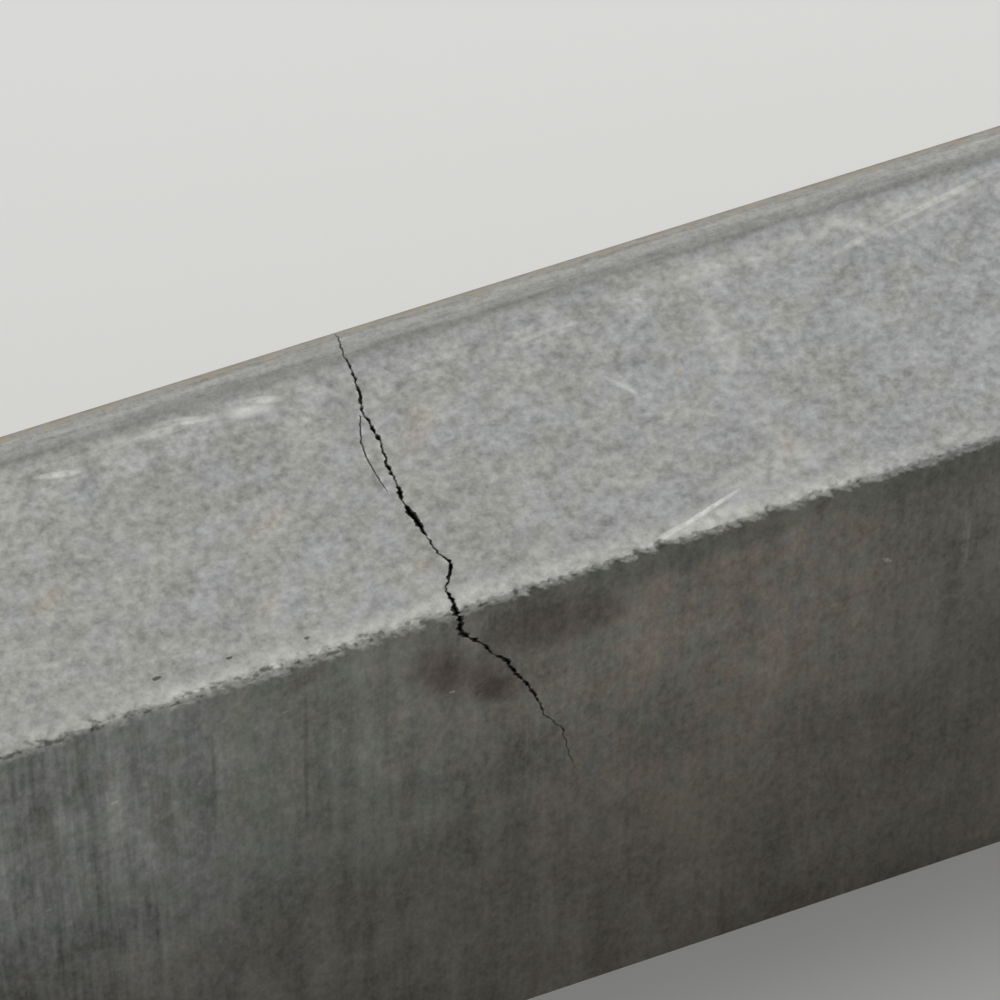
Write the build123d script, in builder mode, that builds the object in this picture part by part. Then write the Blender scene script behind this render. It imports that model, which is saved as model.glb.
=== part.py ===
"""Concrete kerb stone: one cast unit with a square front arris, a rounded back edge and a crack across it.

Millimetres. X runs along the stone, Y across it from the front face to the back, Z up.
The origin is the middle of the base.
"""

import os

from build123d import *

# The cast block
length = 1000.0
width = 150.0
height = 300.0
back_edge_radius = 25.0

# The crack, from the front arris over the top to the back, and down both faces
crack_from_middle = -34.0
crack_depth = 150.0
crack_drift = 54.0
cut_clearance = 4.0

# Across the top: share of the width from the front, wander along the stone, opening at the top
crack_route = [
    (0.00, 0.0, 2.8),
    (0.07, 0.2, 1.5),
    (0.12, 5.4, 1.6),
    (0.16, 5.0, 1.6),
    (0.19, 2.8, 1.5),
    (0.27, 1.3, 3.0),
    (0.35, -0.8, 2.8),
    (0.43, -1.1, 1.6),
    (0.50, -0.3, 1.3),
    (0.58, 0.8, 1.2),
    (0.66, 0.0, 1.4),
    (0.75, 2.2, 1.2),
    (0.82, 2.5, 1.2),
    (0.87, 1.2, 0.9),
    (0.93, 2.5, 0.8),
    (1.00, 2.2, 0.8),
]

# Down the stone: share of the crack's depth, share of its drift, share of its opening
crack_descent = [
    (0.00, 0.00, 1.00),
    (0.07, 0.00, 0.75),
    (0.12, 0.07, 0.62),
    (0.26, 0.28, 0.52),
    (0.29, 0.36, 0.50),
    (0.37, 0.43, 0.46),
    (0.50, 0.60, 0.42),
    (0.58, 0.63, 0.36),
    (0.72, 0.82, 0.32),
    (0.86, 0.86, 0.26),
    (1.00, 1.00, 0.18),
]

# The hair crack that leaves the main one behind the middle and joins it again nearer the front
branch_depth = 12.0
branch_route = [
    (0.40, -1.0, 0.9),
    (0.45, -4.2, 0.9),
    (0.50, -5.9, 0.8),
    (0.58, -6.3, 0.8),
    (0.62, -4.6, 0.9),
    (0.66, -0.6, 1.0),
]
branch_descent = [(0.0, 0.0, 1.0), (1.0, 0.0, 0.4)]


def crack_slice(route, drift, opening_share):
    """Corners of a crack at one level: along one wall from front to back, then home along the other."""
    walls = []
    for share_across, wander, opening in route:
        x = crack_from_middle + wander + drift
        y = (share_across - 0.5) * width
        walls.append((x, y, opening * opening_share / 2))
    out = [(x - half, y) for x, y, half in walls]
    home = [(x + half, y) for x, y, half in reversed(walls)]
    return out + home


def past_both_faces(route):
    """The same route with a straight lead-in and lead-out, so that the cut runs clear of the stone."""
    lead = cut_clearance / width
    front, back = route[0], route[-1]
    return [(front[0] - lead, *front[1:])] + route + [(back[0] + lead, *back[1:])]


def crack_levels(descent, depth, drift):
    """Height, drift and opening of each slice, with one more slice clear of the top."""
    levels = [(height + cut_clearance, 0.0, descent[0][2])]
    for depth_share, drift_share, opening_share in descent:
        levels.append((height - depth_share * depth, drift_share * drift, opening_share))
    return levels


with BuildPart() as kerb_stone:
    # The section is cast plumb, with only its back edge rounded
    with BuildSketch(Plane.YZ) as section:
        Rectangle(width, height, align=(Align.CENTER, Align.MIN))
        back_corner = section.vertices().group_by(Axis.Y)[-1].sort_by(Axis.X)[-1]
        fillet(back_corner, radius=back_edge_radius)
    extrude(amount=length / 2, both=True)

    # The crack drifts along the stone as it goes down, and closes inside it
    for z, drift, opening_share in crack_levels(crack_descent, crack_depth, crack_drift):
        with BuildSketch(Plane.XY.offset(z)):
            with BuildLine():
                Polyline(*crack_slice(past_both_faces(crack_route), drift, opening_share), close=True)
            make_face()
    loft(ruled=True, mode=Mode.SUBTRACT)

    for z, drift, opening_share in crack_levels(branch_descent, branch_depth, 0.0):
        with BuildSketch(Plane.XY.offset(z)):
            with BuildLine():
                Polyline(*crack_slice(branch_route, drift, opening_share), close=True)
            make_face()
    loft(ruled=True, mode=Mode.SUBTRACT)

kerb_stone.part.label = "kerb_stone"

os.makedirs("parts", exist_ok=True)
export_step(kerb_stone.part, "parts/kerb_stone.step")
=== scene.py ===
"""A weathered concrete kerb stone, cracked across its top, on a plain pale floor.

Metres. X runs along the stone, Y across it from the front face to the back, Z up from the floor.
"""

import functools
import math

import bmesh
import bpy
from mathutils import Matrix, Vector, noise


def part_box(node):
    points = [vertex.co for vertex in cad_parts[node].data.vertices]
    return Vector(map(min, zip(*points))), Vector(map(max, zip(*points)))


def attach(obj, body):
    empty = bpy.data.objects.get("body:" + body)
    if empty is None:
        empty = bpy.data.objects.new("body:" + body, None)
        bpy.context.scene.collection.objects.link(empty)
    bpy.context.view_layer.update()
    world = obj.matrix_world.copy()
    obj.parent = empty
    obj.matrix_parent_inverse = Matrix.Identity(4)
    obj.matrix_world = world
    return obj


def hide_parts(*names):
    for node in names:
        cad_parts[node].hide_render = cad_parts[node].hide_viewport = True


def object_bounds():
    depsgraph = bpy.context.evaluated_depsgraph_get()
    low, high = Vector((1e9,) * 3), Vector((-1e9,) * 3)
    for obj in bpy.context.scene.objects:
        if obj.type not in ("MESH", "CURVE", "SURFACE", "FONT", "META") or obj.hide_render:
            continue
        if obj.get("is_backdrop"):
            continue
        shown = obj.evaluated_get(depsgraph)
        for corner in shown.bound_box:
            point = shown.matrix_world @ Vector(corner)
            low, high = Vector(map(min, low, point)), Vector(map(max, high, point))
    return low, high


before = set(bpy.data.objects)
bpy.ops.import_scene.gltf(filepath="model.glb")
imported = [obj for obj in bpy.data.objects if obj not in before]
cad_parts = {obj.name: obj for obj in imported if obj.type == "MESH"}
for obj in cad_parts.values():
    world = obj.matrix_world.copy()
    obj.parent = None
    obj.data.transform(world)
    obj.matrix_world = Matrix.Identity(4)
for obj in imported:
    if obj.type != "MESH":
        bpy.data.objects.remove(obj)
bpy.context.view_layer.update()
MM = 0.001

# The cast block
# One unit of dense grey concrete, pressed in a steel mould: plumb sides, a square front arris and a
# rounded back edge. Its skin is a flat sheet first, measured along the stone and round its girth,
# so that the crack can be laid out on it before the sheet is folded round the section.
stone_low, stone_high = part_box("kerb_stone")
length = stone_high.x - stone_low.x
width = stone_high.y - stone_low.y
height = stone_high.z - stone_low.z
back_radius = 25 * MM

# Girth is 0 on the front arris, below 0 down the front face, and above 0 over the top
top_flat = width - back_radius
back_top = top_flat + back_radius * math.pi / 2
back_foot = back_top + height - back_radius
full_girth = back_foot + width
tiny = 1e-6


def around(girth):
    """Where a place on the girth lies on the section, as (y, z)."""
    if girth < 0:
        return -width / 2, height + girth
    if girth < top_flat:
        return girth - width / 2, height
    if girth < back_top:
        turn = (girth - top_flat) / back_radius
        y = width / 2 - back_radius * (1 - math.sin(turn))
        return y, height - back_radius * (1 - math.cos(turn))
    if girth < back_foot:
        return width / 2, height - back_radius - (girth - back_top)
    return width / 2 - (girth - back_foot), 0.0


def graded(reach, finest, growth, coarsest):
    """Distances from an edge into a face: close together at the edge, wider apart further in."""
    stops, at, step = [], finest, finest
    while at + step < reach:
        stops.append(at)
        step = min(step * growth, coarsest)
        at += step
    return stops


# Rows stand closer together at the front arris and at the turn of the back edge
arris_row = 0.6 * MM
arris_growth = 1.17
arc_steps = 9
arc_start = top_flat + 5 * MM
rows = [-height] + [-g for g in reversed(graded(height, arris_row, arris_growth, 20 * MM))] + [0.0]
rows += graded(top_flat - 4 * MM, arris_row, arris_growth, 8 * MM)
rows += [top_flat + g * MM for g in (-3, -1, 1, 3)] + [arc_start]
rows += [arc_start + (back_top - arc_start) * (i + 1) / arc_steps for i in range(arc_steps)]
rows += [back_top + g for g in graded(height - back_radius, 4 * MM, 1.3, 25 * MM)] + [back_foot]
rows += [back_foot + g for g in graded(width, 5 * MM, 1.6, 30 * MM)] + [full_girth]

# Columns stand closer together at mid-length, round the crack
column_count = 600
middle_share = 0.70
columns = []
for i in range(column_count + 1):
    u = i / column_count - 0.5
    columns.append(length * (middle_share * u + 4 * (1 - middle_share) * u**3))
end_rim = 1.2 * MM
columns = [columns[0], columns[0] + end_rim] + columns[1:-1] + [columns[-1] - end_rim, columns[-1]]

skin = bmesh.new()
bmesh.ops.create_grid(skin, x_segments=len(columns) - 1, y_segments=len(rows) - 1, size=0.5)
for v in skin.verts:
    v.co.x = columns[round((v.co.x + 0.5) * (len(columns) - 1))]
    v.co.y = rows[round((v.co.y + 0.5) * (len(rows) - 1))]

# The crack
# The stone settled and broke across: the crack wanders over the top, leans along the stone as it
# goes down the faces, and opens 1 to 3 mm. Each side of it is a torn edge with a wall that runs in.
crack_from_middle = -34 * MM
crack_depth = 150 * MM
# Over the top: share of the width from the front, wander along the stone, opening
crack_route = [
    (0.000, 0.2, 2.4),
    (0.036, 1.0, 1.5),
    (0.070, 0.5, 0.8),
    (0.086, 1.8, 1.0),
    (0.129, 5.5, 1.7),
    (0.161, 5.7, 1.0),
    (0.183, 3.4, 0.6),
    (0.202, 2.5, 0.8),
    (0.246, 1.8, 0.6),
    (0.269, 1.9, 1.8),
    (0.300, 1.2, 2.5),
    (0.333, 0.2, 2.5),
    (0.359, -0.8, 0.35),
    (0.390, -0.2, 2.0),
    (0.425, 0.2, 0.4),
    (0.456, 0.0, 1.2),
    (0.495, 0.2, 1.0),
    (0.540, 1.1, 0.8),
    (0.583, 1.1, 1.2),
    (0.625, 0.6, 1.0),
    (0.660, 0.1, 0.7),
    (0.690, 1.0, 1.4),
    (0.748, 2.6, 0.9),
    (0.788, 2.8, 0.8),
    (0.814, 3.1, 0.8),
    (0.850, 2.6, 0.7),
    (0.875, 3.2, 0.6),
    (0.917, 3.1, 0.5),
    (1.000, 2.6, 0.4),
]
# Down the faces: depth below the top, drift along the stone, opening as a share of that at the edge
crack_descent = [
    (0.0, 0.0, 1.0),
    (7.0, 1.9, 0.85),
    (12.0, 1.0, 0.95),
    (18.6, 3.8, 1.0),
    (24.4, 8.8, 0.62),
    (29.8, 11.9, 0.48),
    (36.2, 14.3, 0.42),
    (39.8, 18.0, 0.80),
    (44.6, 20.8, 0.70),
    (54.6, 24.1, 0.52),
    (61.2, 27.4, 0.46),
    (73.5, 32.0, 0.34),
    (90.0, 36.0, 0.22),
    (104.0, 43.5, 0.20),
    (126.0, 46.5, 0.14),
    (150.0, 54.0, 0.0),
]
# The hair crack beside it: share of the width, wander, opening
branch_route = [
    (0.405, -5.0, 0.1),
    (0.429, -5.6, 0.3),
    (0.483, -6.5, 0.4),
    (0.528, -6.9, 0.5),
    (0.575, -6.2, 0.6),
    (0.612, -4.4, 0.6),
    (0.639, -2.8, 0.5),
    (0.655, -1.8, 0.3),
]
branch_depth = 9 * MM
branch_blend = 0.08
# How far from the crack the sheet is pulled aside to follow it
jog_reach = 12 * MM
drift_reach = 220 * MM
# The lines along each wall: how far in, how much of the gap is left, how far it has left the lips' line
wall_lines = [(0.25 * MM, 0.8, 0.0), (0.9 * MM, 0.6, 0.2), (4 * MM, 0.45, 0.8), (1.0, 0.0, 1.0)]
deepest_line = len(wall_lines)


def between(stations, at, column):
    """The value of one column of a list of stations, by straight runs from station to station."""
    if at <= stations[0][0]:
        return stations[0][column]
    for before, after in zip(stations, stations[1:]):
        if at <= after[0]:
            share = (at - before[0]) / (after[0] - before[0])
            return before[column] + share * (after[column] - before[column])
    return stations[-1][column]


def soft_step(low, high, value):
    """From 0 at the low value to 1 at the high one, with soft ends."""
    share = min(max((value - low) / (high - low), 0), 1)
    return share * share * (3 - 2 * share)


def fade(distance, reach):
    """From 1 at no distance to 0 at the reach, with soft ends."""
    return 0.5 + 0.5 * math.cos(math.pi * min(abs(distance) / reach, 1))


def tremor(x, y, z, size, seed):
    """Smooth noise from -1 to 1, with lumps of about that size."""
    return noise.noise(Vector((x / size + seed, y / size - seed, z / size + 2 * seed)))


def crack_wander(y, z):
    """How far the crack lies from its mean line along the stone, without its drift."""
    wander = between(crack_route, y / width + 0.5, 1) * MM
    torn = 0.7 * MM * tremor(0, y, z, 3.5 * MM, 3) + 0.5 * MM * tremor(0, y, z, 1.4 * MM, 8)
    return wander + torn


def crack_drift(z):
    """How far the crack has leaned along the stone on its way down the faces."""
    return between(crack_descent, (height - z) / MM, 1) * MM


def settled_drift(z):
    """The drift with its kinks smoothed out over 16 mm each way, which the stone's whole skin follows."""
    window = [crack_drift(z + k * MM) for k in range(-16, 17, 2)]
    return sum(window) / len(window)


def crack_opening(y, z):
    """The gap between the two walls of the crack just under its lips, in beads and pinches."""
    beads = 1 + 1.1 * tremor(0, y, z, 2.4 * MM, 21) + 0.6 * tremor(0, y, z, 1.2 * MM, 23)
    gap = between(crack_route, y / width + 0.5, 2) * between(crack_descent, (height - z) / MM, 2)
    return max(gap * beads, 0.15 * min(gap, 1)) * MM


def lip_loss(y, z, seed):
    """How much one torn lip has crumbled back from the wall under it."""
    crumbs = tremor(0, y, z, 1.3 * MM, seed) + 0.5 * tremor(0, y, z, 4 * MM, seed + 5)
    closing = soft_step(crack_depth, 0.7 * crack_depth, height - z)
    return (0.1 + 0.7 * max(crumbs + 0.15, 0)) * MM * closing


# Where the crack starts and ends on the girth, and the two columns of the sheet that it follows
crack_start = -crack_depth
crack_end = back_top + crack_depth - back_radius
branch_start = branch_route[0][0] * width
branch_end = branch_route[-1][0] * width
crack_column = min(range(len(columns)), key=lambda i: abs(columns[i] - crack_from_middle))
columns_apart = 4
crack_x = columns[crack_column]
branch_x = columns[crack_column - columns_apart]


def along_girth(edge):
    """Whether an edge of the flat sheet runs round the girth, not along the stone."""
    return abs(edge.verts[0].co.x - edge.verts[1].co.x) < tiny


def middle_of(edge):
    return (edge.verts[0].co + edge.verts[1].co) / 2


# Finer cells beside the crack, finest where it shows most, then along the front arris
crack_side = jog_reach + 5 * MM
split_side = 3.4 * MM
arris_side = 7.2 * MM
plain_below = -90 * MM
fine_cell = 0.6 * MM
plain_cell = 1.6 * MM
by_cuts = {}
for edge in skin.edges:
    at = middle_of(edge)
    if along_girth(edge) and abs(at.x - crack_x) < crack_side and crack_start < at.y < crack_end:
        cell = fine_cell if plain_below < at.y < back_top else plain_cell
        cuts = math.ceil(edge.calc_length() / cell - 0.3) - 1
        if cuts > 0:
            by_cuts.setdefault(cuts, []).append(edge)
for cuts, edges in by_cuts.items():
    bmesh.ops.subdivide_edges(skin, edges=edges, cuts=cuts)

near_crack = [
    e
    for e in skin.edges
    if not along_girth(e)
    and abs(middle_of(e).x - crack_x) < split_side
    and crack_start < middle_of(e).y < crack_end
]
bmesh.ops.subdivide_edges(skin, edges=near_crack, cuts=1)
arris_band = [
    e
    for e in skin.edges
    if not along_girth(e)
    and abs(middle_of(e).y) < arris_side
    and abs(middle_of(e).x - crack_x) > crack_side + 2 * MM
]
bmesh.ops.subdivide_edges(skin, edges=arris_band, cuts=1)

# On which wall line a vertex lies, from 0 on the skin to 4 at the bottom, and on which side of the crack
depth_layer = skin.verts.layers.float.new("depth")
side_layer = skin.verts.layers.float.new("side")
branch_layer = skin.verts.layers.float.new("branch")


def column_run(column_x, start, end):
    """The edges of one column of the sheet, between two places on the girth."""
    return [
        e
        for e in skin.edges
        if along_girth(e) and abs(e.verts[0].co.x - column_x) < tiny and start < middle_of(e).y < end
    ]


def open_slit(column_x, start, end, is_branch):
    """Parts the sheet along one column and runs both edges inwards, to meet at the bottom."""
    bmesh.ops.split_edges(skin, edges=column_run(column_x, start, end))
    lips = [e for e in column_run(column_x, start, end) if e.is_boundary]
    for v in {v for e in lips for v in e.verts}:
        centres = [f.calc_center_median().x for f in v.link_faces]
        if all(c > column_x for c in centres):
            v[side_layer] = 1
        elif all(c < column_x for c in centres):
            v[side_layer] = -1
        v[branch_layer] = is_branch
    for line in range(1, deepest_line + 1):
        made = bmesh.ops.extrude_edge_only(skin, edges=lips)["geom"]
        lips = [g for g in made if isinstance(g, bmesh.types.BMEdge)]
        for v in (g for g in made if isinstance(g, bmesh.types.BMVert)):
            v[depth_layer] = line


open_slit(crack_x, crack_start, crack_end, 0)
open_slit(branch_x, branch_start, branch_end, 1)


def crack_floor(girth):
    """The line inside the stone where the crack's two walls meet, as (y, z)."""
    share = (girth - crack_start) / (crack_end - crack_start)
    low = height - crack_depth
    rise = crack_depth - 45 * MM
    return -width / 2 * math.cos(math.pi * share), low + rise * math.sin(math.pi * share)


@functools.cache
def crack_row(girth):
    """How one row of the sheet meets the cracks: the smooth drift, each crack's lips, and its gap."""
    y, z = around(girth)
    drift = settled_drift(z)
    line = crack_from_middle + crack_wander(y, z) + crack_drift(z) - drift
    gap = left_loss = right_loss = hair = 0.0
    if crack_start < girth < crack_end:
        gap = crack_opening(y, z)
        # A crumb is missing from the left lip near the front
        notch = 1.5 * MM * fade(y + 63 * MM, 1.5 * MM)
        left_loss, right_loss = lip_loss(y, z, 71) + notch, lip_loss(y, z, 83)
    lips = line - gap / 2 - left_loss, line + gap / 2 + right_loss
    free = branch_x + (lips[0] - crack_x) * fade(branch_x - crack_x, jog_reach)
    share = y / width + 0.5
    first, last = branch_route[0][0], branch_route[-1][0]
    led = soft_step(first - branch_blend, first, share) * (1 - soft_step(last, last + branch_blend, share))
    if z < height - tiny:
        led = 0.0
    if branch_start < girth < branch_end:
        hair = between(branch_route, share, 2) * MM * (1 + 0.8 * tremor(0, y, 0, 2 * MM, 15))
    held = crack_from_middle + between(branch_route, share, 1) * MM
    held += 0.4 * MM * tremor(0, y, 0, 2 * MM, 5)
    open_hair = hair + 0.25 * MM * (hair > 0)
    held = min(held, lips[0] - open_hair / 2 - 0.4 * MM)
    middle = free + led * (held - free)
    hair_lips = middle - open_hair / 2, middle + open_hair / 2
    return drift, hair_lips, hair, lips, gap


# The broken arris
# The front arris was cast square and has lost its edge: it is a line of small chips and crumbs, 2 to
# 5 mm deep. Wear takes stone away, so it always goes inwards.
wear_reach = 13 * MM
brink_reach = 20 * MM
# Chips: place along the stone, reach to each side and depth, in millimetres
chips = [(132, 4, 1.6), (120, 4, 2.6), (111, 3.5, 1.8), (93.5, 4, 1.5), (49, 4.5, 2.4), (40, 4, 1.8)]
chips += [(30, 3.5, 1.4), (13.5, 3.5, 1.4), (-4, 4, 1.5), (-21.5, 3.5, 1.5), (-46, 5, 1.6), (-64, 4, 1.6)]
chips += [(-79.5, 4, 1.6), (-101, 4, 1.6), (-125, 4, 1.4), (-156, 4, 1.8), (-185, 5, 1.5), (-240, 6, 3.0)]
chips += [(210, 3, 2.4), (330, 7, 3.5), (-390, 5, 2.5), (270, 4, 1.6), (-320, 4, 1.8), (430, 5, 2.0)]


@functools.cache
def arris_bite(x):
    """How far chipping has eaten into the top and down the front, from where the arris was."""
    spall = soft_step(0.0, 0.35, tremor(x, 0, 0, 8 * MM, 31))
    tooth = soft_step(-0.3, 0.5, tremor(x, 0, 0, 3.2 * MM, 41) + 0.6 * tremor(x, 0, 0, 1.5 * MM, 43))
    broad = tremor(x, 0, 0, 38 * MM, 37)
    chip = sum(deep * fade(x - at * MM, reach * MM) for at, reach, deep in chips)
    over_top = 0.4 + 1.0 * tooth + 0.4 * spall + 0.3 * broad + 0.8 * chip
    down_front = 1.0 + 1.4 * tooth + 0.7 * spall + 0.4 * broad + 0.6 * chip
    return max(over_top, 0.25) * MM, max(down_front, 0.5) * MM


def worn(x, girth):
    """Where wear has left the skin, as (y, z), and how far that place is in a pit, from 0 to 1."""
    y, z = around(girth)
    if abs(girth) > wear_reach:
        return y, z, 0.0
    over_top, down_front = arris_bite(x)
    if -down_front < girth < over_top:
        share = 0.5 + 0.5 * girth / (over_top if girth > 0 else down_front)
        y = -width / 2 + over_top * share
        z = height - down_front * (1 - share)
    near = soft_step(-down_front - 1 * MM, -down_front + 0.6 * MM, girth)
    near *= 1 - soft_step(over_top, over_top + 2 * MM, girth)
    near *= soft_step(0, 6 * MM, length / 2 - abs(x))
    rough = 0.2 + tremor(x, girth, 0, 2.1 * MM, 61) + 0.7 * tremor(x, girth, 0, 1.1 * MM, 67)
    pit = soft_step(0.15, 0.45, tremor(x, girth, 0, 2.8 * MM, 47)) * near
    inwards = 0.45 * MM * max(rough, 0) * near + 0.55 * MM * pit
    return y + 0.8 * inwards, z - 0.6 * inwards, pit


def brink_place(x, girth):
    """How far a place lies inside the broken edge, whose pale teeth hang down to the right."""
    if abs(girth) > brink_reach:
        return girth
    over_top, down_front = arris_bite(round(x + 0.7 * girth, 5))
    return girth + 4.4 * MM - 1.1 * over_top - 1.1 * down_front


def fold(v):
    """Folds one vertex of the sheet round the section, with the columns led along the crack.

    Gives its place, how far it is in a pit, and how much painted shade it takes between the crack's walls.
    """
    x, girth = v.co.x, v.co.y
    line, side = round(v[depth_layer]), v[side_layer]
    drift, hair_lips, hair, lips, gap = crack_row(girth)
    off = x - crack_x
    drift *= fade(off, drift_reach)
    on_branch = v[branch_layer] and (side or line)
    left, right = hair_lips if on_branch else lips
    if line:
        sink, gap_left, strayed = wall_lines[line - 1]
        middle = (left + right) / 2 + drift
        y, z, _ = worn(middle + side * (right - left) / 2, girth)
        opening = narrow = hair if on_branch else gap
        if line > 1:
            narrow = opening * gap_left * soft_step(0.5 * MM, 1.6 * MM, opening)
            narrow += 0.04 * MM * (line < deepest_line)
        if on_branch:
            z -= min(sink, branch_depth)
        else:
            floor_y, floor_z = crack_floor(girth)
            run = math.hypot(floor_y - y, floor_z - z)
            share = 1.0 if line == deepest_line else min(sink / max(run, tiny), 0.2 * line)
            y += share * (floor_y - y)
            z += share * (floor_z - z)
            surface = crack_from_middle + crack_wander(y, z) + crack_drift(z)
            middle += strayed * (surface - middle)
            narrow *= min(run / (5 * MM), 1)
        shade = min(line, 2) / 2 * (0.4 + 0.6 * soft_step(0.5 * MM, 1.3 * MM, opening))
        return Vector((middle + side * narrow / 2, y, z)), 0.0, shade
    if on_branch:
        shift = (right if side > 0 else left) - x
    elif off > tiny or side > 0:
        shift = (lips[1] - crack_x) * fade(off, jog_reach)
    elif off > branch_x - crack_x + tiny:
        share = off / (branch_x - crack_x)
        shift = (lips[0] - crack_x) + share * (hair_lips[1] - branch_x - lips[0] + crack_x)
    else:
        shift = (hair_lips[0] - branch_x) * fade(x - branch_x, jog_reach)
    x += drift + shift
    y, z, pit = worn(x, girth)
    return Vector((x, y, z)), pit, 0.0


# Each vertex keeps its girth, its place inside the broken edge, its pit and shade, and if it is on a lip
girth_layer = skin.verts.layers.float.new("girth")
brink_layer = skin.verts.layers.float.new("brink")
pit_layer = skin.verts.layers.float.new("pit")
shade_layer = skin.verts.layers.float.new("shade")
lip_layer = skin.verts.layers.float.new("lip")
for v in skin.verts:
    girth = v.co.y
    v.co, v[pit_layer], v[shade_layer] = fold(v)
    v[girth_layer] = girth
    v[brink_layer] = brink_place(v.co.x, girth)
    v[lip_layer] = abs(v[side_layer]) * (v[depth_layer] == 0)

weld = 0.02 * MM
close_by = 1 * MM


def at_seam(v):
    """Whether a vertex lies at the foot of the front, where both sides of the sheet meet."""
    return v.co.z < close_by and v.co.y < -width / 2 + close_by


inner = [v for v in skin.verts if round(v[depth_layer]) == deepest_line]
bmesh.ops.remove_doubles(skin, verts=inner, dist=weld)
bmesh.ops.remove_doubles(skin, verts=[v for v in skin.verts if at_seam(v)], dist=weld)
for v in skin.verts:
    if at_seam(v):
        v[girth_layer] = v[brink_layer] = -height

# The ends
# Plain butt faces, which the next stones in the row stand against. Their edges are only blunted, and
# they close the skin.
end_inset = 1.5 * MM
for v in skin.verts:
    end_distance = length / 2 - abs(v.co.x)
    blunted = (1.1 + 0.6 * tremor(0, v.co.y, v.co.z, 9 * MM, 53)) * MM
    if end_distance < blunted and v[depth_layer] == 0:
        bite = (blunted - end_distance) / 2
        v.co.x -= math.copysign(bite, v.co.x)
        if abs(v.co.y) > width / 2 - close_by:
            v.co.y -= math.copysign(bite, v.co.y)
        if abs(v.co.z - height / 2) > height / 2 - close_by:
            v.co.z -= math.copysign(bite, v.co.z - height / 2)
for end_x in (-length / 2, length / 2):
    rim = [e for e in skin.edges if e.is_boundary and abs(middle_of(e).x - end_x) < 3 * MM]
    closed = bmesh.ops.edgeloop_fill(skin, edges=rim)["faces"]
    end_face = bmesh.ops.extrude_discrete_faces(skin, faces=closed)["faces"][0]
    for v in end_face.verts:
        inner_y = v.co.y * (1 - 2 * end_inset / width)
        inner_z = height / 2 + (v.co.z - height / 2) * (1 - 2 * end_inset / height)
        v.co = end_x, inner_y, inner_z

# Sharp turns keep their edge, and the plane ends are shaded flat
sharp_turn = math.radians(45)
end_facing = 0.999
bmesh.ops.recalc_face_normals(skin, faces=skin.faces)
for edge in skin.edges:
    edge.smooth = edge.calc_face_angle(0) < sharp_turn
for face in skin.faces:
    face.smooth = abs(face.normal.x) < end_facing

stone_mesh = bpy.data.meshes.new("weathered_kerb_stone")
skin.to_mesh(stone_mesh)
skin.free()
stone = bpy.data.objects.new("weathered_kerb_stone", stone_mesh)
bpy.context.scene.collection.objects.link(stone)
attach(stone, "root")
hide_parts("kerb_stone")


# The concrete
# Grey cement with fine sand. The top is dry and grainy; the front was pressed against the mould and is
# smooth, darker with damp and grime. Chipped edges are pale; pits hold dirt and painted shade, and the
# crack painted shade.
class Value:
    """A socket of the finish's nodes, on which sums are written as on a number."""

    def __init__(self, finish, socket):
        self.finish, self.socket = finish, socket

    def __add__(self, other):
        return self.finish.sum("ADD", self, other)

    def __sub__(self, other):
        return self.finish.sum("SUBTRACT", self, other)

    def __rsub__(self, other):
        return self.finish.sum("SUBTRACT", other, self)

    def __mul__(self, other):
        return self.finish.sum("MULTIPLY", self, other)

    def __truediv__(self, other):
        return self.finish.sum("DIVIDE", self, other)

    def __neg__(self):
        return self.finish.sum("MULTIPLY", self, -1)

    __radd__ = __add__
    __rmul__ = __mul__


class Finish:
    """A material or surround, and the nodes that work out its look from place to place."""

    def __init__(self, owner):
        owner.use_nodes = True
        self.owner = owner
        self.tree = owner.node_tree

    def node(self, kind, settings, inputs, output=0):
        """Adds a node: its settings first, then the values or links of its sockets."""
        made = self.tree.nodes.new(kind)
        for name, setting in settings.items():
            if name == "stops":
                ramp = made.color_ramp.elements
                while len(ramp) < len(setting):
                    ramp.new(0.5)
                for element, (place, level) in zip(ramp, setting):
                    element.position = place
                    element.color = (level, level, level, 1)
            else:
                setattr(made, name, setting)
        for name, value in inputs.items():
            if isinstance(value, Value):
                self.tree.links.new(value.socket, made.inputs[name])
            else:
                made.inputs[name].default_value = value
        return Value(self, made.outputs[output])

    def feed(self, shader, name, value):
        """Puts a value, or what varies over the surface, on a socket of the named shader."""
        socket = self.tree.nodes[shader].inputs[name]
        if isinstance(value, Value):
            self.tree.links.new(value.socket, socket)
        else:
            socket.default_value = value

    def sum(self, operation, *terms):
        """Adds a Math node on values and numbers."""
        return self.node("ShaderNodeMath", {"operation": operation}, dict(enumerate(terms)))

    def rise(self, value, low, high):
        """A mask that goes softly from 0 at the low value to 1 at the high one."""
        return self.node(
            "ShaderNodeMapRange",
            {"interpolation_type": "SMOOTHSTEP"},
            {"Value": value, "From Min": low, "From Max": high},
        )

    def mix(self, mask, under, over):
        """Lays one colour over another, as far as the mask allows."""
        return self.node(
            "ShaderNodeMix",
            {"data_type": "RGBA", "blend_type": "MIX", "clamp_factor": True},
            {0: mask, 6: under, 7: over},
            output=2,
        )

    def scaled(self, colour, factor):
        """A colour made lighter or darker by a factor."""
        return self.node("ShaderNodeVectorMath", {"operation": "SCALE"}, {0: colour, "Scale": factor})


def paint(red, green, blue):
    """A colour as it is read off a screen, from 0 to 255, for a colour socket."""
    return tuple(((c / 255 + 0.055) / 1.055) ** 2.4 for c in (red, green, blue)) + (1,)


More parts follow.
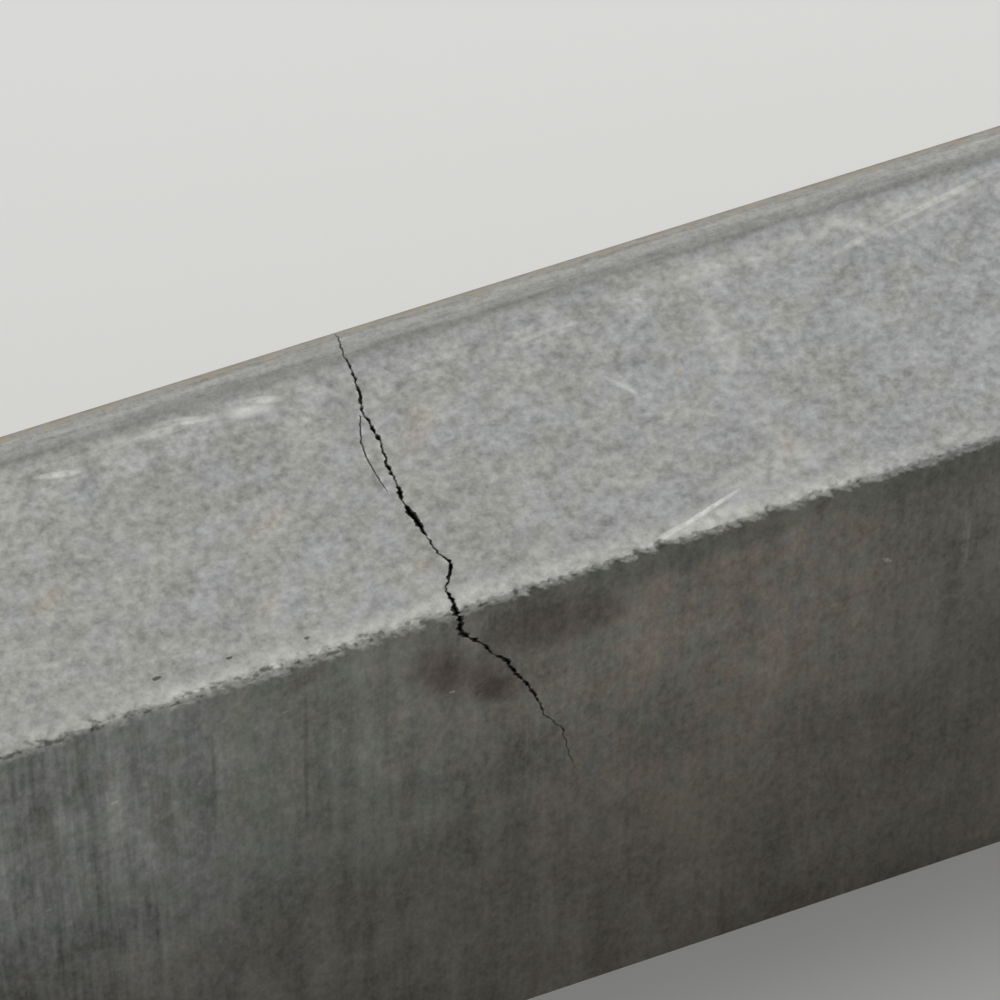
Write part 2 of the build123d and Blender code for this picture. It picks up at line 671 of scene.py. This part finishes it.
class Cast(Finish):
    """The stone's finish over one stretch of its girth, with the grain and marks that show there.

    All its places and sizes are in millimetres.
    """

    # Strokes thinner than this are ragged right through
    thin_breadth = 7

    def __init__(self, name, low, high):
        super().__init__(bpy.data.materials.new(name))
        self.low, self.high = low, high
        place = self.node("ShaderNodeTexCoord", {}, {}, output="Object")
        self.place = self.scaled(place, 1 / MM)
        self.x = self.node("ShaderNodeSeparateXYZ", {}, {0: self.place}, output="X")
        self.z = self.node("ShaderNodeSeparateXYZ", {}, {0: self.place}, output="Z")
        self.girth = self.kept("girth") * (1 / MM)
        # Grain: fine sand, soft blotches and broad clouds
        self.sand = self.lumps(1.5, roughness=0.6, seed=1)
        self.blotch = self.lumps(3.8, roughness=0.55, seed=2)
        self.mottle = self.lumps(11, detail=1, seed=3)
        self.cloud = self.lumps(45, seed=4)
        self.tint = self.lumps(15, detail=1, seed=5)
        # Long marks of the mould run along the stone, and of water down its faces
        self.drawn = self.lumps(2.6, seed=6, along=(0.08, 1, 1))
        self.streaks = self.lumps(2.7, roughness=0.6, seed=9, along=(1, 1, 0.05))
        self.broad_streaks = self.lumps(13, detail=1, seed=10, along=(1, 1, 0.07))
        self.grit = 1.6 * self.sand + 1.2 * self.blotch
        self.to_right = self.rise(self.x + 60 * self.cloud, -90, 60)

    def kept(self, name):
        """What the mesh has kept at each vertex under that name."""
        return self.node("ShaderNodeAttribute", {"attribute_name": name}, {}, output="Fac")

    def along_axis(self, axis):
        """How far each place lies along an axis."""
        inputs = {0: self.place, 1: axis}
        return self.node("ShaderNodeVectorMath", {"operation": "DOT_PRODUCT"}, inputs, output="Value")

    def lumps(self, size, detail=2.0, roughness=0.5, seed=0, along=(1, 1, 1)):
        """Noise about 0, from about -0.5 to 0.5, with lumps of a size in millimetres."""
        moved = self.node(
            "ShaderNodeVectorMath",
            {"operation": "MULTIPLY_ADD"},
            {0: self.place, 1: along, 2: (371 * seed, -529 * seed, 713 * seed)},
        )
        field = self.node(
            "ShaderNodeTexNoise",
            {"noise_dimensions": "3D"},
            {"Vector": moved, "Scale": 1 / size, "Detail": detail, "Roughness": roughness},
        )
        return field - 0.5

    def stroke(self, upright, breadth, *ends):
        """A mask of a soft stroke between two places on the top (x, y), or on the front (x, z)."""
        x0, y0, x1, y1 = ends
        reach, half = math.hypot(x1 - x0, y1 - y0) / 2 + breadth / 2, breadth / 2
        turn = math.atan2(y1 - y0, x1 - x0)
        off_middle = self.grit * min(1.0, self.thin_breadth / breadth)
        for way, size in ((turn, reach), (turn + math.pi / 2, half)):
            run, climb = math.cos(way) / size, math.sin(way) / size
            axis = (run, 0, climb) if upright else (run, climb, 0)
            went = self.along_axis(axis) - ((x0 + x1) * run + (y0 + y1) * climb) / 2
            off_middle = self.sum("MULTIPLY_ADD", went, went, off_middle)
        return self.rise(off_middle, 1.0, 0.3 if breadth < self.thin_breadth else -0.1)

    def highlight_lips(self, colour):
        """Lays a painted highlight along the crack's lips over a colour, here and there."""
        lip_highlight = self.kept("lip") * self.rise(self.blotch + 0.6 * self.sand, -0.05, 0.2)
        return self.mix(lip_highlight * 0.7, colour, self.scaled(colour, 1.5))

    def strokes(self, upright, marks):
        """The strokes of one kind that reach this stretch: each has a strength, a breadth and two ends."""
        arris = height / MM if upright else -width / 2 / MM
        total = 0.0
        for strength, breadth, *ends in marks:
            girths = [end - arris for end in ends[1::2]]
            if min(girths) - breadth < self.high and max(girths) + breadth > self.low:
                total = total + strength * self.stroke(upright, breadth, *ends)
        return total


def foot_stain_and_shade(cast):
    """A mask of the foot of the stone: earth stain on the back and ends; on the front, painted shade with
    a little earth stain.
    """
    return 1 - cast.rise(cast.z + 34 * cast.cloud + 16 * cast.mottle, 105, 168)


# The back and the ends are plain, and earth has stained them
def back_look(cast):
    level = 1 + 0.4 * cast.streaks + 0.4 * cast.broad_streaks + 0.9 * cast.blotch + 0.5 * cast.sand
    colour = cast.scaled(paint(140, 140, 134)[:3], level)
    colour = cast.mix(foot_stain_and_shade(cast) * 0.6, colour, paint(118, 108, 94))
    earthy = cast.rise(cast.mottle + 0.8 * cast.cloud + 0.5 * cast.blotch, -0.22, 0.26)
    return cast.mix(earthy * 0.55, colour, paint(128, 117, 101))


# The top: bluer to the right and greener to the left, with earthy spots, scuffs, scratches, and painted
# shade in small holes
warm = [
    (0.45, 11, -181, -18, -170, -13),
    (0.40, 10, -92, -14, -78, -8),
    (0.35, 8, -102, -50, -94, -44),
    (0.40, 16, -22, 2, -12, 16),
    (0.45, 6, -40, -53, -36, -49),
    (0.60, 3, 84, -3, 87, -2),
    (0.60, 8, 111, -55, 112, -44),
]
rubbed = [
    (0.35, 13, 109, 56, 106, 12),
    (0.40, 15, 107, 14, 105, -8),
    (0.22, 14, 104, -8, 110, -58),
    (0.45, 15, 72, -58, 126, -57),
    (0.40, 12, 50, 41, 270, 36),
    (0.55, 6, 54, -73, 82, -68),
    (0.50, 3.4, 156, 27, 190, 34.3),
    (0.80, 3.4, 186, 33.4, 242, 43.8),
    (0.35, 2.6, 181, 26, 224, 36.2),
    (0.50, 2.6, 31, 32.5, 52, 35.5),
    (0.35, 2.2, 30, 35, 42, 39),
    (0.45, 2.4, 57, 7.5, 68, -7),
    (0.40, 2.4, 62.8, 9, 67, -10.5),
    (0.40, 2.2, 64, -16, 72, -18),
    (0.40, 5, -140, 43, -120, 44),
    (0.60, 4, -310, 20, -280, -4),
    (0.60, 3, 330, -30, 390, -12),
]
scored = [
    (0.95, 3.2, 44, -73.6, 62, -68.6),
    (0.90, 2.7, 56, -70.8, 80, -63.4),
    (0.60, 2.4, 72, -66.0, 86, -61.7),
    (0.55, 4.5, -121, 43, -96, 43),
    (0.50, 4.0, -108, 47, -88, 42),
    (0.65, 7.0, -82, 41, -66, 38.5),
    (0.45, 4.0, -74, 45, -60, 41),
    (0.60, 3.6, -160, 40, -143, 36.6),
]
hole_shade = [
    (0.9, 2.0, -149.2, -62.5, -147.4, -62.5),
    (0.9, 1.5, -120.8, -63.7, -119.6, -63.7),
    (0.8, 1.5, -90.6, -65.8, -89.4, -65.8),
]


# Painted light and shade over the rounded back edge, from just before its turn to well over it: painted
# shade where it leaves the top, painted light over the turn
band_lead = 6
band_breadth = 32
band_light_stops = [(0.0, 1.0), (0.08, 0.97), (0.14, 0.84), (0.19, 0.72), (0.27, 0.78), (0.36, 0.93)]
band_light_stops += [(0.44, 1.05), (0.52, 1.06), (0.62, 0.93), (1.0, 0.95)]


def middle_part(cast):
    """A mask of the stretch of the stone between its two duller ends."""
    along = cast.x + 40 * cast.mottle
    return cast.rise(along, -172, -135) * (1 - cast.rise(along, 125, 150))


def top_look(cast):
    rise, mix, scaled, girth = cast.rise, cast.mix, cast.scaled, cast.girth
    sand, blotch, mottle, cloud = cast.sand, cast.blotch, cast.mottle, cast.cloud
    at_arris, at_back = cast.low < 0, cast.high > top_flat / MM
    bluer = rise(cast.tint + 0.4 * mottle + cast.x / 1500, -0.16, 0.2)
    colour = mix(bluer, paint(157, 158, 152), paint(155, 156, 156))
    colour = mix(cast.strokes(False, warm), colour, paint(166, 154, 142))
    if at_back:
        strip = rise(girth + 10 * blotch + 6 * cloud, 100, 110) * (1 - rise(girth + 6 * blotch, 117, 122))
        colour = mix(strip * rise(cast.drawn + mottle, -0.1, 0.25) * 0.5, colour, paint(176, 177, 172))
    colour = mix(cast.strokes(False, rubbed), colour, paint(184, 185, 179))
    if at_arris:
        # Worn pale along the arris, except near the ends
        fringe = (1 - rise(girth + 12 * cloud + 8 * blotch, 4, 13)) * (0.3 + 0.45 * middle_part(cast))
        colour = mix(fringe, colour, paint(181, 182, 175))
    colour = mix(cast.strokes(False, scored), colour, paint(204, 205, 200))
    colour = scaled(colour, 1 + 0.5 * sand + 1.05 * blotch + 0.5 * mottle + 0.25 * cloud)
    colour = cast.highlight_lips(colour)
    # Painted shade in small holes
    colour = mix(cast.strokes(False, hole_shade), colour, paint(76, 72, 66))
    if not at_back:
        return colour
    # The rounded back edge: painted shade where it leaves the top, painted light over the turn, with earth
    # on its far side
    run = girth - top_flat / MM
    over_band = (run + band_lead + 5 * mottle) / band_breadth
    band_painted_light = cast.node("ShaderNodeValToRGB", {"stops": band_light_stops}, {"Fac": over_band})
    band_colour = scaled(paint(152, 152, 148)[:3], 1 + 0.7 * cast.drawn + 0.6 * blotch + 0.6 * sand)
    colour = scaled(mix(rise(run, -3, 2), colour, band_colour), band_painted_light)
    earth = rise(run + 12 * blotch + 10 * mottle, 12, 17)
    earth = earth * rise(cast.lumps(2.6, detail=3, seed=8), -0.14, 0.1)
    colour = mix(earth * 0.75, colour, paint(160, 146, 124))
    return mix(rise(girth + 4 * mottle, 140, 148), colour, back_look(cast))


# The front: pressed smooth and streaked, bluish to the left, browner in the middle, darker to the right
grime = [
    (0.36, 24, -46, 280, -36, 254),
    (0.30, 20, -27, 256, -17, 236),
    (0.58, 38, -44, 268, -20, 242),
    (0.70, 40, -14, 276, 26, 268),
    (0.40, 20, -20, 240, -8, 232),
    (0.35, 14, -154, 262, -153, 180),
    (0.30, 14, -200, 290, -199, 190),
    (0.42, 2.4, -94.6, 294, -96.2, 178),
    (0.25, 2.0, -132, 270, -133, 200),
    (0.45, 12, -100, 282, -88, 294),
    (0.50, 6, 114, 290, 119, 295),
]
cleaner = [
    (0.30, 9, -172.5, 285, -172, 190),
    (0.20, 8, -128, 280, -128, 215),
    (0.85, 2.6, -173.5, 245.6, -171, 245.6),
    (0.75, 2.0, -103.6, 269.8, -102.4, 269.8),
    (0.70, 2.0, -36.4, 246.6, -35.2, 246.6),
    (0.80, 2.6, 143.2, 241.5, 145.6, 239),
    (0.60, 2.2, -203, 186, -201, 186),
    (0.25, 16, 60, 238, 84, 230),
    (0.60, 2.4, -37.0, 298.5, -36.2, 291),
    (0.60, 2.4, 280, 220, 282, 219),
    (0.30, 4, 178, 262, 178, 214),
]


def front_look(cast):
    rise, mix, scaled = cast.rise, cast.mix, cast.scaled
    x, cloud, to_right, broad = cast.x, cast.cloud, cast.to_right, cast.broad_streaks
    # All the grain here is drawn out downwards
    sand = cast.lumps(1.5, roughness=0.65, seed=13, along=(1, 1, 0.6))
    blotch = cast.lumps(3.6, roughness=0.6, seed=14, along=(1, 1, 0.5))
    mottle = cast.lumps(11, detail=1, seed=15, along=(1, 1, 0.42))
    patch = cast.lumps(8, detail=1, seed=11, along=(1, 1, 0.5))
    colour = mix(rise(x + 60 * cloud + 120 * broad, -145, -95), paint(133, 135, 133), paint(121, 122, 114))
    colour = mix(to_right, colour, paint(125, 118, 108))
    colour = mix(rise(cast.tint + 0.4 * mottle, 0.02, 0.16) * 0.6, colour, paint(116, 120, 110))
    colour = mix(rise(patch, 0.02, 0.22) * (0.25 + 0.25 * to_right), colour, paint(127, 118, 109))
    colour = mix(rise(-patch, 0.0, 0.18) * 0.55, colour, paint(116, 120, 114))
    colour = mix(rise(x + 40 * cloud, 105, 175) * 0.85, colour, paint(106, 104, 97))
    # Painted shade: the front is darker just under the arris and lighter further down
    shade_under_arris = 1 - rise(24 * cloud + 14 * cast.mottle - cast.girth, 12, 26)
    colour = mix(shade_under_arris * (0.05 + 0.65 * to_right), colour, paint(96, 100, 90))
    colour = mix(cast.strokes(True, grime), colour, paint(88, 78, 70))
    colour = mix(cast.strokes(True, cleaner), colour, paint(160, 159, 152))
    # Painted shade and a little earth stain at the foot of the front
    colour = mix(foot_stain_and_shade(cast) * 0.6, colour, paint(108, 103, 93))
    streaked = 1 - rise(x + 60 * cloud, -200, -100)
    level = 1 + cast.streaks * (0.35 + 0.65 * streaked) + broad * (1.0 - 0.5 * to_right)
    level = level + 0.8 * cloud + 0.95 * blotch + 0.65 * sand + 0.55 * mottle * (1 - 0.3 * to_right)
    # Painted shade: the front darkens towards its foot
    colour = scaled(scaled(colour, level), 0.74 + 0.26 * rise(cast.z, 145, 235))
    return cast.highlight_lips(colour)


# The broken arris carries the top's pale stone down to a ragged brink, with painted shade in its bites and
# painted shade and dirt in its pits
def arris_look(cast):
    rise, mix, sand, blotch = cast.rise, cast.mix, cast.sand, cast.blotch
    brink = cast.kept("brink") * (1 / MM) + 1.1 + 1.2 * rise(cast.x, -180, -130)
    brink = brink - 1.5 * cast.to_right + 1.1 * rise(cast.x, 60, 160)
    crumbled = 2.6 - 0.8 * cast.to_right
    over_brink = rise(brink + 2.5 * blotch + 3.5 * sand, -crumbled, crumbled)
    colour = mix(over_brink, front_look(cast), top_look(cast))
    # Painted shade in the bites along the top of the broken arris
    bite_shade = cast.lumps(3.6, detail=1, seed=12, along=(0.9, 1.4, 1.4))
    bite_shade_band = rise(cast.girth, -3.2, -1.4)
    bite_shade_band = bite_shade_band * (1 - rise(cast.girth + 6 * blotch + 2 * cast.to_right, 1.8, 4.4))
    bite_shade = rise(bite_shade + 0.5 * sand, -0.03, 0.2) * bite_shade_band
    colour = mix(bite_shade * (0.74 - 0.34 * cast.to_right), colour, paint(82, 85, 78))
    # Painted shade and dirt in the pits
    return mix(cast.kept("pit") * rise(sand + 0.6 * blotch, -0.16, 0.06) * 0.6, colour, paint(86, 88, 80))


# The walls of the crack are clean just inside its lips, then near black with painted shade further in
def crack_look(cast):
    lips = cast.mix(cast.rise(cast.girth, -2, 1), paint(94, 92, 85), paint(150, 150, 145))
    return cast.mix(cast.rise(cast.kept("shade"), 0.0, 0.8), lips, paint(50, 46, 40))


# Each stretch of the girth: its name, its start and end, its look, and how rough it feels
stretches = [
    ("pressed front", -height / MM, -14, front_look, 0.3),
    ("broken arris", -14, 17, arris_look, 0.8),
    ("dry top", 17, 150, top_look, 1.0),
    ("earthed back", 150, full_girth / MM, back_look, 0.7),
    ("crack walls", -height / MM, full_girth / MM, crack_look, 0.0),
]
for name, low, high, look, roughened in stretches:
    cast = Cast(name, low, high)
    relief = roughened * (0.35 * cast.sand + 0.5 * cast.blotch)
    bump = cast.node(
        "ShaderNodeBump", {}, {"Height": relief, "Distance": 0.6 * MM, "Strength": 0.6}, output="Normal"
    )
    cast.feed("Principled BSDF", "Base Color", look(cast))
    cast.feed("Principled BSDF", "Normal", bump)
    cast.feed("Principled BSDF", "Roughness", 0.9)
    stone_mesh.materials.append(cast.owner)

walls = len(stretches) - 1
back = walls - 1
kept_girth = stone_mesh.attributes["girth"].data
kept_depth = stone_mesh.attributes["depth"].data
for face in stone_mesh.polygons:
    middle = sum(kept_girth[v].value for v in face.vertices) / len(face.vertices) / MM
    if any(kept_depth[v].value > 0 for v in face.vertices):
        face.material_index = walls
    elif abs(face.center.x) > length / 2 - 0.1 * MM:
        face.material_index = back
    else:
        face.material_index = sum(middle > low for _, low, *_ in stretches[1:walls])

# The studio floor
# A plain pale sheet that only catches the stone's shadow.
floor_mesh = bpy.data.meshes.new("studio_floor")
floor_sheet = bmesh.new()
bmesh.ops.create_grid(floor_sheet, x_segments=1, y_segments=1, size=30)
floor_sheet.to_mesh(floor_mesh)
floor_sheet.free()
floor = bpy.data.objects.new("studio_floor", floor_mesh)
bpy.context.scene.collection.objects.link(floor)
floor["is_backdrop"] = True
floor_paint = Finish(bpy.data.materials.new("pale floor"))
floor_paint.feed("Principled BSDF", "Base Color", paint(228, 228, 226))
floor_paint.feed("Principled BSDF", "Roughness", 0.9)
floor_mesh.materials.append(floor_paint.owner)

# Light
# One broad soft lamp behind and above the stone, and an even white surround, which the camera sees as
# pale as the floor.
surround = Finish(bpy.data.worlds.new("studio"))
bpy.context.scene.world = surround.owner
seen = surround.node("ShaderNodeLightPath", {}, {}, output="Is Camera Ray")
fill_strength = 0.45
seen_strength = 0.2
surround.feed("Background", "Color", (1, 1, 1, 1))
surround.feed("Background", "Strength", fill_strength + seen_strength * seen)

lamp = bpy.data.lights.new("overhead", "AREA")
lamp.shape = "DISK"
lamp.size = 2.5
lamp.energy = 60
lamp_object = bpy.data.objects.new("overhead", lamp)
bpy.context.scene.collection.objects.link(lamp_object)
lamp_object.location = Vector((0.5, 1.2, 3.2))
lamp_aim = Vector((0, 0, height)) - lamp_object.location
lamp_object.rotation_euler = lamp_aim.to_track_quat("-Z", "Y").to_euler()

# The camera
# A long lens, looking down at the stone from its front left, as the photograph does.
camera_rise = math.radians(55)
camera_turn = math.radians(21.25)
camera_distance = 2.6515
aim = Vector((0, -33.3 * MM, height))
looks = Vector(
    (
        math.sin(camera_turn) * math.cos(camera_rise),
        math.cos(camera_turn) * math.cos(camera_rise),
        -math.sin(camera_rise),
    )
)
camera_data = bpy.data.cameras.new("camera")
camera_data.sensor_width = 36
camera_data.lens = 252
camera = bpy.data.objects.new("camera", camera_data)
bpy.context.scene.collection.objects.link(camera)
camera.location = aim - looks * camera_distance
camera.rotation_euler = looks.to_track_quat("-Z", "Y").to_euler()
bpy.context.scene.camera = camera
bpy.context.scene.view_settings.view_transform = "Standard"

bpy.context.view_layer.update()
low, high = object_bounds()
